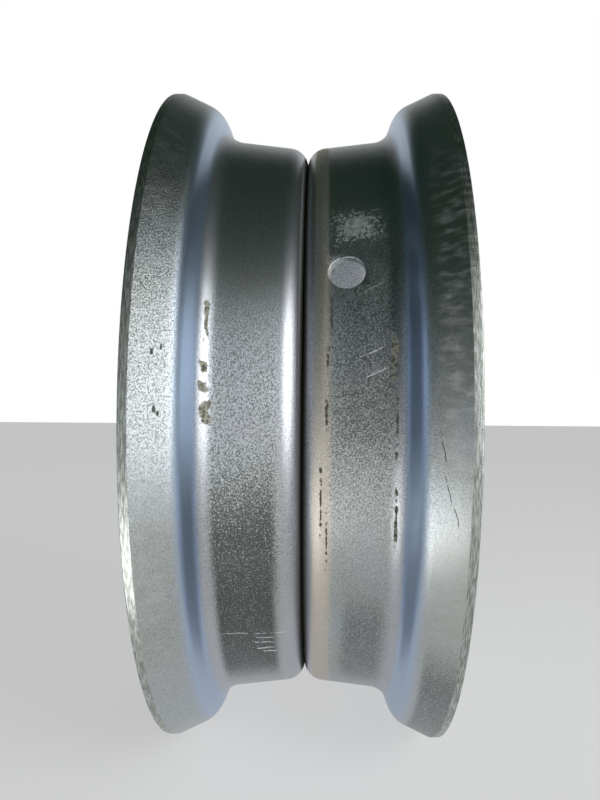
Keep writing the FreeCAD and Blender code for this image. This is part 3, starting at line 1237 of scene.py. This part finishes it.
@dataclass(frozen=True)
class WipeMarks:
    """Pale marks across the lip, as wiping leaves them, and more of them high on the valve half."""

    length: float = 2.0 * MM
    width: float = 11.0 * MM
    streak_range: Range = (0.38, 0.8)
    past_shoulder: Range = (0.5 * MM, 2.5 * MM)
    sector: Band = (math.radians(6.0), math.radians(30.0), math.radians(14.0))
    share: float = 0.1
    sector_share: float = 0.22


@dataclass(frozen=True)
class ShearedEdge:
    """Streaks along the sheared edge of the lip."""

    grey: Colour = (0.39, 0.42, 0.38, 1.0)
    start: float = 0.1 * MM
    length: float = 3.2 * MM
    width: float = 0.3 * MM
    detail: float = 3.0
    streak_range: Range = (0.4, 0.62)
    share: float = 0.34


@dataclass(frozen=True)
class ZincPlating:
    """Matt blue-passivated zinc on pressed sheet, with the marks of pressing and handling, and painted
    shade low on the front and in the seam groove.
    """

    blue_grey: Colour = (0.50, 0.54, 0.565, 1.0)
    olive_grey: Colour = (0.48, 0.50, 0.475, 1.0)
    lilac_grey: Colour = (0.52, 0.525, 0.58, 1.0)
    flange_blue: Colour = (0.41, 0.535, 0.72, 1.0)
    warm_strip: Colour = (0.64, 0.58, 0.50, 1.0)
    olive_dirt: Colour = (0.34, 0.335, 0.27, 1.0)
    clump_dark: Colour = (0.09, 0.09, 0.065, 1.0)
    # Dark tone for dirt, pits, scratches and edge streaks, and for the painted shade in the seam groove.
    dark_dirt_and_shade: Colour = (0.035, 0.037, 0.028, 1.0)
    bare_light: Colour = (0.82, 0.83, 0.84, 1.0)
    grain_dark: Colour = (0.15, 0.165, 0.16, 1.0)
    # Colour of the grain where it is painted shade on the lower front.
    grain_deep_and_shade: Colour = (0.06, 0.066, 0.064, 1.0)
    grain_size: float = 0.46 * MM
    cloud_size: float = 34.0 * MM
    grain_relief: float = 0.14 * MM
    roughness: float = 0.29
    roughness_range: float = 0.14
    tint_range: Range = (0.42, 0.62)
    cloud_range: Range = (0.45, 0.7)
    grain_range: Range = (0.44, 0.59)
    speckle_scale: float = 1100.0
    speckle_range: Range = (0.4, 0.62)
    flange_foot: Range = (1.2 * MM, 2.8 * MM)
    flange_top: Range = (1.5 * MM, -2.0 * MM)
    heel_bend: Band = (25.6 * MM, 30.0 * MM, 2.0 * MM)
    seam_bend: Range = (8.0 * MM, 5.0 * MM)
    strip_band: Band = (3.6 * MM, 6.6 * MM, 2.4 * MM)
    # Heights over which the painted shade in the seam groove fades in.
    seam_shade_band: Range = (1.5 * MM, 0.6 * MM)
    groove: Range = (-11.0 * MM, -7.0 * MM)
    shares: CoatShares = CoatShares()
    pattern: GrainPattern = GrainPattern()
    wiping: WipeMarks = WipeMarks()
    sheared: ShearedEdge = ShearedEdge()
    # Painted shade: denser, deeper grain that darkens the front of both walls, mostly low down, and the
    # valve lip low down.
    dense_grain_and_shade_zones: tuple[Zone, ...] = (
        Zone((-50.0, -20.0, 18.0), (-23.0, -9.0, 3.5)),
        Zone((-52.0, -38.0, 20.0), (14.0, 21.0, 8.0), 0.8),
        Zone((0.0, 16.0, 9.0), (14.0, 21.0, 8.0), 0.4),
        Zone((-66.0, -42.0, 16.0), (35.0, 42.0, 3.0), 0.8),
    )
    heel_dirt: tuple[Patch, ...] = (
        Patch(15.5, 3.4, -25.6, 0.7, ragged=3.0),
        Patch(7.6, 0.9, -26.0, 1.0, ragged=2.6),
        Patch(4.5, 1.0, -25.9, 1.2, ragged=2.6),
        Patch(0.6, 2.0, -25.4, 1.5, ragged=2.2),
        Patch(10.0, 4.0, 24.6, 1.25, ragged=1.7),
        Patch(-0.6, 5.5, 25.2, 0.4, ragged=3.4),
        Patch(-15.0, 5.6, 25.3, 0.42, ragged=3.4),
    )
    strip_pits: tuple[Patch, ...] = (
        Patch(17.0, 4.0, 7.9, 0.5, ragged=2.4, ragged_size=1.2),
        Patch(8.5, 2.2, 6.9, 0.45, ragged=3.6, ragged_size=1.6),
        Patch(0.5, 2.5, 6.6, 0.45, ragged=3.6, ragged_size=1.6),
        Patch(-14.0, 5.0, 5.2, 0.3, ragged=3.6, ragged_size=1.4),
        Patch(-20.0, 4.0, 6.8, 0.28, ragged=3.6, ragged_size=1.4),
    )
    # A paler, rougher patch above the valve hole.
    pale_rough_patch: Patch = Patch(33.0, 7.5, 15.5, 15.0, softness=1.0, ragged=1.2, ragged_size=0.9)
    lip_ticks: tuple[Patch, ...] = (
        Patch(8.3, 0.45, -37.0, 0.35, ragged=1.6),
        Patch(9.0, 0.4, -34.9, 0.3, ragged=1.6),
        Patch(1.2, 0.5, -36.2, 0.4, ragged=1.8),
        Patch(0.6, 0.35, -35.3, 0.3, ragged=1.8),
    )
    light_scratches: tuple[Scratch, ...] = (
        Scratch(-40.0, -14.0, -5.0, 11.0),
        Scratch(-41.5, -11.0, -8.0, 3.0, 0.3),
        Scratch(-43.0, -11.5, -8.0, 3.2, 0.35),
        Scratch(-45.0, -11.0, 0.0, 3.0, 0.4),
        Scratch(-46.2, -10.0, 0.0, 2.2, 0.4),
        Scratch(10.0, 18.5, 22.0, 4.0),
        Scratch(6.8, 19.5, 26.0, 4.0),
        Scratch(21.0, 20.0, 35.0, 4.5),
    )
    dark_scratches: tuple[Scratch, ...] = (
        Scratch(-3.5, 35.4, -83.0, 5.0, 0.15),
        Scratch(-10.3, 37.6, -74.0, 7.6, 0.15),
    )

    def build(self, shop: FinishShop, section: SheetSection) -> Material:
        """Build the material, with its marks where the section has its heel, flange and lip."""
        return PlatingCoat(self, shop, section).build()


class PlatingCoat:
    """Lays the plating's tones and marks over one another in one material."""

    def __init__(self, look: ZincPlating, shop: FinishShop, section: SheetSection) -> None:
        """Start the material with its ground tones.

        Args:
            look: The plating's colours and marks.
            shop: Holds the shared groups.
            section: Says where the heel, the flange and the lip lie.
        """
        self.look = look
        self.shares = look.shares
        self.shop = shop
        self.section = section
        self.material, self.kit = new_material("zinc_plating")
        self.place = shop.place(self.kit)
        self.grain = shop.grain(self.kit, look.grain_size, look.cloud_size)
        self.flange = self.flange_mask()
        self.bends = self.bend_mask()
        self.strip = self.on_tyre_side(self.kit.band(self.place["Across"], *look.strip_band))
        # Painted shade on the lower front, laid as denser, deeper grain.
        self.dense_and_shade = self.on_tyre_side(gather(self.kit, shop, look.dense_grain_and_shade_zones))
        self.grainy = self.grain_strength()
        tint = self.kit.ramp(self.grain["Tint"], *look.tint_range)
        self.colour = self.kit.blend(tint, look.blue_grey, look.olive_grey)

    def build(self) -> Material:
        """Lay every tone and mark in turn and end the material.

        Returns:
            The material.
        """
        kit, look, shares = self.kit, self.look, self.shares
        self.add_tones()
        self.add_grain()
        pale_patch = self.on_tyre_side(look.pale_rough_patch.mask(kit, self.shop))
        self.cover(pale_patch, look.bare_light, shares.pale_patch)
        # Wipe marks mostly stay off the painted shade.
        wiped = kit.product(self.wipe_mask(), kit.rest(self.dense_and_shade, shares.wipe_lost_on_dense_and_shade))
        self.cover(wiped, look.bare_light)
        self.add_sheared_edge()
        scratches = gather(kit, self.shop, look.light_scratches)
        self.cover(self.on_tyre_side(scratches), look.bare_light)
        # Dirt and the painted seam shade, both made less metallic and rougher.
        dirt_and_seam_shade = self.add_dirt_and_seam_shade()
        plain = kit.math("MULTIPLY_ADD", self.grain["Grain"], look.roughness_range, look.roughness)
        rough = kit.highest(
            kit.math("MULTIPLY_ADD", wiped, shares.wipe_dulling, plain),
            kit.product(dirt_and_seam_shade, shares.dirt_and_shade_dulling),
            kit.product(pale_patch, shares.pale_patch_dulling),
            kit.product(self.strip, shares.strip_dulling),
        )
        inputs = {
            "Base Color": self.colour,
            "Metallic": kit.rest(dirt_and_seam_shade, shares.dirt_and_shade_cover),
            "Roughness": rough,
        }
        height = kit.product(kit.math("SUBTRACT", self.grain["Grain"], NOISE_MIDDLE), self.grainy)
        end_metal(kit, inputs, height, look.grain_relief)
        return self.material

    def cover(self, mask: Any, tone: Any, share: float = 1.0) -> None:
        """Lay a tone over the colours so far."""
        self.colour = self.kit.blend(self.kit.product(mask, share), self.colour, tone)

    def on_tyre_side(self, mask: Any) -> NodeSocket:
        """Keep a mask to the side of the sheet that faces the tyre."""
        return self.kit.product(mask, self.place["Tyre Side"])

    def add_tones(self) -> None:
        """Lay the lilac clouds and bends, the blue flange and the warm strip."""
        look, shares = self.look, self.shares
        clouds = self.kit.ramp(self.grain["Cloud"], *look.cloud_range)
        self.cover(clouds, look.lilac_grey, shares.lilac_clouds)
        self.cover(self.bends, look.lilac_grey, shares.lilac_bends)
        self.cover(self.on_tyre_side(self.flange), look.flange_blue, shares.blue_flange)
        self.cover(self.strip, look.warm_strip, shares.warm_strip)

    def add_grain(self) -> None:
        """Lay the dark grain, deeper and closer in the zones of painted shade on the lower front."""
        kit, look, shares = self.kit, self.look, self.shares
        denser = kit.math("MULTIPLY_ADD", self.dense_and_shade, shares.dense_and_shade_lift, self.grain["Grain"])
        spread = kit.highest(self.grainy, kit.product(self.dense_and_shade, shares.dense_and_shade_spread))
        off_strip = kit.rest(self.strip, shares.grain_lost_on_strip)
        mask = kit.product(kit.ramp(denser, *look.grain_range), spread, off_strip)
        self.cover(mask, kit.blend(self.dense_and_shade, look.grain_dark, look.grain_deep_and_shade), shares.grain)

    def add_sheared_edge(self) -> None:
        """Give the sheared edge of the lip its streaks."""
        kit, look, sheared = self.kit, self.look, self.look.sheared
        land = kit.math("GREATER_THAN", self.place["Height"], self.section.lip_edge.y + sheared.start)
        streak = self.shop.streak(kit, sheared.length, sheared.width, sheared.detail)
        tone = kit.blend(kit.ramp(streak, *sheared.streak_range), look.dark_dirt_and_shade, look.bare_light)
        self.cover(land, kit.blend(sheared.share, sheared.grey, tone))

    def add_dirt_and_seam_shade(self) -> NodeSocket:
        """Lay the dirt at the heels, the pits and dark scratches, and painted shade in the seam groove
        between the halves.

        Returns:
            The mask of the dirt, the pits and scratches, and the painted seam shade.
        """
        kit, look = self.kit, self.look
        dirt = self.on_tyre_side(gather(kit, self.shop, look.heel_dirt))
        speckle = kit.ramp(kit.noise(kit.object_place(), look.speckle_scale), *look.speckle_range)
        self.cover(dirt, kit.blend(speckle, look.olive_dirt, look.clump_dark))
        marks = (*look.strip_pits, *look.lip_ticks, *look.dark_scratches)
        pits = self.on_tyre_side(gather(kit, self.shop, marks))
        self.cover(pits, look.dark_dirt_and_shade, self.shares.pits)
        # Painted shade: the groove where the two halves meet is darkened.
        seam = kit.product(kit.ramp(self.place["Height"], *look.seam_shade_band), self.groove_mask())
        self.cover(seam, look.dark_dirt_and_shade, self.shares.seam)
        return kit.highest(dirt, pits, seam)

    def ramp_from(self, radius: float, past: Range) -> NodeSocket:
        """Rise from 0 to 1 between two distances past a radius."""
        return self.kit.ramp(self.place["Radius"], radius + past[0], radius + past[1])

    def flange_mask(self) -> NodeSocket:
        """Be 1 on the drawn flange, where the sheet stretched smooth."""
        foot = self.ramp_from(self.section.bead_seat_radius, self.look.flange_foot)
        return self.kit.product(foot, self.ramp_from(self.section.shoulder.x, self.look.flange_top))

    def groove_mask(self) -> NodeSocket:
        """Be 1 in the groove between the halves and outside it, and 0 on the clamped webs."""
        return self.ramp_from(self.section.wall_foot, self.look.groove)

    def bend_mask(self) -> NodeSocket:
        """Be 1 on the bends beside the seam and at the heel, which forming has smoothed."""
        heel = self.kit.band(self.place["Height"], *self.look.heel_bend)
        return self.kit.highest(heel, self.kit.ramp(self.place["Height"], *self.look.seam_bend))

    def grain_strength(self) -> NodeSocket:
        """Say how strongly the dark grain shows.

        Returns:
            The strength, from 0 to 1.
        """
        kit, pattern, across = self.kit, self.look.pattern, self.place["Across"]
        lead = kit.product(kit.math("SIGN", across), pattern.half_lead)
        plain_lip = kit.math("LESS_THAN", across, pattern.plain_lip)
        lead = kit.math("MULTIPLY_ADD", plain_lip, pattern.plain_lip_lead, lead)
        turned = kit.math("SUBTRACT", self.place["Turn"], lead)
        wave = kit.ramp(kit.math("COSINE", kit.product(turned, pattern.zones)), *pattern.wave_range)
        zones = kit.math("MULTIPLY_ADD", wave, 1.0 - pattern.least, pattern.least)
        valve_lip = kit.rest(kit.ramp(across, *pattern.valve_lip), pattern.valve_lip_loss)
        plain_half = kit.math("LESS_THAN", across, 0.0)
        bend_loss = kit.math("MULTIPLY_ADD", plain_half, pattern.plain_bend_loss, pattern.bend_loss)
        flange_loss = kit.product(self.flange, pattern.flange_loss)
        drawn = kit.highest(kit.product(self.bends, bend_loss), flange_loss)
        return kit.product(zones, valve_lip, kit.rest(drawn, 1.0))

    def wipe_mask(self) -> NodeSocket:
        """Say how strongly the lip is wiped pale.

        Returns:
            The strength, from 0 to 1.
        """
        kit, wiping = self.kit, self.look.wiping
        lip = self.ramp_from(self.section.shoulder.x, wiping.past_shoulder)
        streak = self.shop.streak(kit, wiping.length, wiping.width)
        valve_half = kit.math("GREATER_THAN", self.place["Across"], 0.0)
        sector = kit.product(kit.band(self.place["Turn"], *wiping.sector), valve_half)
        share = kit.math("MULTIPLY_ADD", sector, wiping.sector_share, wiping.share)
        return kit.product(kit.ramp(streak, *wiping.streak_range), lip, share)


@dataclass(frozen=True)
class FastenerZinc:
    """Satin zinc on the bolts, nuts and washers."""

    colour: Colour = (0.58, 0.60, 0.61, 1.0)
    dull: Colour = (0.44, 0.45, 0.43, 1.0)
    grain_size: float = 0.5 * MM
    grain_relief: float = 0.02 * MM
    cloud_size: float = 6.0 * MM
    cloud_range: Range = (0.4, 0.65)
    roughness: float = 0.3
    roughness_range: float = 0.12

    def build(self, shop: FinishShop) -> Material:
        """Build the material.

        Args:
            shop: Holds the shared groups.

        Returns:
            The material.
        """
        material, kit = new_material("fastener_zinc")
        grain = shop.grain(kit, self.grain_size, self.cloud_size)
        colour = kit.blend(kit.ramp(grain["Cloud"], *self.cloud_range), self.colour, self.dull)
        rough = kit.math("MULTIPLY_ADD", grain["Grain"], self.roughness_range, self.roughness)
        inputs = {"Base Color": colour, "Metallic": 1.0, "Roughness": rough}
        end_metal(kit, inputs, grain["Grain"], self.grain_relief)
        return material


@dataclass(frozen=True)
class SoftBox:
    """A soft rectangular lamp and the point that it looks at."""

    name: str
    place: tuple[float, float, float]
    width: float
    height: float
    radiance: float
    colour: tuple[float, float, float] = (1.0, 1.0, 1.0)
    aim: tuple[float, float, float] = (0.0, 0.0, 0.0)

    def build(self) -> None:
        """Add the lamp."""
        light = bpy.data.lights.new(self.name, "AREA")
        light.shape = "RECTANGLE"
        light.size, light.size_y = self.width, self.height
        light.energy = self.radiance * math.pi * self.width * self.height
        light.color = self.colour
        lamp = bpy.data.objects.new(self.name, light)
        lamp.location = self.place
        lamp.rotation_euler = (Vector(self.place) - Vector(self.aim)).to_track_quat("Z", "Y").to_euler()
        lamp.visible_camera = False
        bpy.context.collection.objects.link(lamp)


@dataclass(frozen=True)
class Camera:
    """The photograph's viewpoint, fitted to the rim's outline."""

    place: tuple[float, float, float] = (0.3036, 0.0052, 0.0040)
    forward: tuple[float, float, float] = (-0.9998, -0.0189, 0.0)
    up: tuple[float, float, float] = (0.0, -0.0069, 1.0)
    lens: float = 34.72
    sensor: float = 36.0
    shift: Range = (-0.00836, 0.0033)
    clip: Range = (0.01, 50.0)

    def build(self) -> None:
        """Add the camera and look through it."""
        data = bpy.data.cameras.new("photo_camera")
        data.lens, data.sensor_width, data.sensor_fit = self.lens, self.sensor, "AUTO"
        data.shift_x, data.shift_y = self.shift
        data.clip_start, data.clip_end = self.clip
        camera = bpy.data.objects.new("photo_camera", data)
        back = -Vector(self.forward).normalized()
        right = Vector(self.up).cross(back).normalized()
        top = back.cross(right)
        turn = Matrix((right, top, back)).transposed().to_4x4()
        camera.matrix_world = Matrix.Translation(self.place) @ turn
        bpy.context.collection.objects.link(camera)
        bpy.context.scene.camera = camera


@dataclass(frozen=True)
class Studio:
    """The pale floor, the lamps and the dim surroundings."""

    floor_level: float
    floor_size: float = 8.0
    floor_colour: Colour = (0.78, 0.78, 0.79, 1.0)
    floor_glow: float = 0.5
    zenith: Colour = (0.015, 0.03, 0.02, 1.0)
    left_side: Colour = (0.23, 0.26, 0.255, 1.0)
    right_side: Colour = (0.52, 0.56, 0.60, 1.0)
    backdrop: Colour = (1.0, 1.0, 1.0, 1.0)
    side_range: Range = (-0.5, 0.6)
    zenith_range: Range = (0.05, 0.6)
    behind_range: Range = (-0.72, -0.82)
    lamps: tuple[SoftBox, ...] = (
        SoftBox("key_right", (0.64, 0.64, 0.16), 0.66, 0.86, 4.4),
        SoftBox("low_left", (0.185, -0.10, -0.110), 0.08, 0.11, 4.0, aim=(0.185, -0.10, 0.0)),
    )

    def build(self) -> None:
        """Set up the light and the floor."""
        scene = bpy.context.scene
        scene.view_settings.view_transform = "Standard"
        self.build_floor()
        self.build_world(scene)
        for lamp in self.lamps:
            lamp.build()

    def build_floor(self) -> None:
        """Lay a large pale floor that keeps the rim's shadow."""
        half = self.floor_size / 2
        mesh = bpy.data.meshes.new("floor")
        flat = ((-half, -half), (half, -half), (half, half), (-half, half))
        mesh.from_pydata([(x, y, self.floor_level) for x, y in flat], [], [(0, 1, 2, 3)])
        floor = bpy.data.objects.new("floor", mesh)
        bpy.context.collection.objects.link(floor)
        material, kit = new_material("floor_pale")
        diffuse = kit.out("ShaderNodeBsdfDiffuse", {"Color": self.floor_colour})
        glow = kit.out("ShaderNodeEmission", {"Color": self.backdrop, "Strength": 1.0})
        share = kit.product(self.seen_rays(kit), self.floor_glow)
        mixed = kit.out("ShaderNodeMixShader", {0: share, 1: diffuse, 2: glow})
        kit.add("ShaderNodeOutputMaterial", {"Surface": mixed})
        mesh.materials.append(material)

    def seen_rays(self, kit: NodeKit) -> NodeSocket:
        """Be 1 for rays from the camera, from a gloss and through glass."""
        path = kit.add("ShaderNodeLightPath").outputs
        return kit.highest(path["Is Camera Ray"], path["Is Glossy Ray"], path["Is Transmission Ray"])

    def build_world(self, scene: Scene) -> None:
        """Surround the rim with soft grey, lighter to the right, dark overhead and white behind.

        Args:
            scene: The scene that gets the surroundings.
        """
        world = bpy.data.worlds.new("studio")
        scene.world = world
        world.use_nodes = True
        world.node_tree.nodes.clear()
        kit = NodeKit(world.node_tree)
        direction = kit.add("ShaderNodeTexCoord").outputs["Generated"]
        parts = kit.add("ShaderNodeSeparateXYZ", {0: direction}).outputs
        sides = kit.blend(kit.ramp(parts["Y"], *self.side_range), self.left_side, self.right_side)
        colour = kit.blend(kit.ramp(parts["Z"], *self.zenith_range), sides, self.zenith)
        behind = kit.ramp(parts["X"], *self.behind_range)
        colour = kit.blend(behind, colour, self.backdrop)
        background = kit.out("ShaderNodeBackground", {"Color": colour, "Strength": 1.0})
        kit.add("ShaderNodeOutputWorld", {"Surface": background})


def main() -> None:
    """Build every piece, light it and report it."""
    logging.basicConfig(level=logging.INFO, format="%(name)s %(message)s")
    shop = Workshop()
    section = SheetSection()
    finishes = FinishShop(section)
    clamps = ClampSet()
    plating = ZincPlating().build(finishes, section)
    web_holes = (clamps.holes(section), HUB_HOLES)
    RimHalf(Side.PLAIN, section, web_holes).build(shop, plating)
    RimHalf(Side.VALVE, section, web_holes, ValveHole()).build(shop, plating)
    clamps.build(shop, section, FastenerZinc().build(finishes))
    Camera().build()
    Studio(floor_level=CAD_BOX[0][2]).build()


if __name__ == "__main__":
    main()
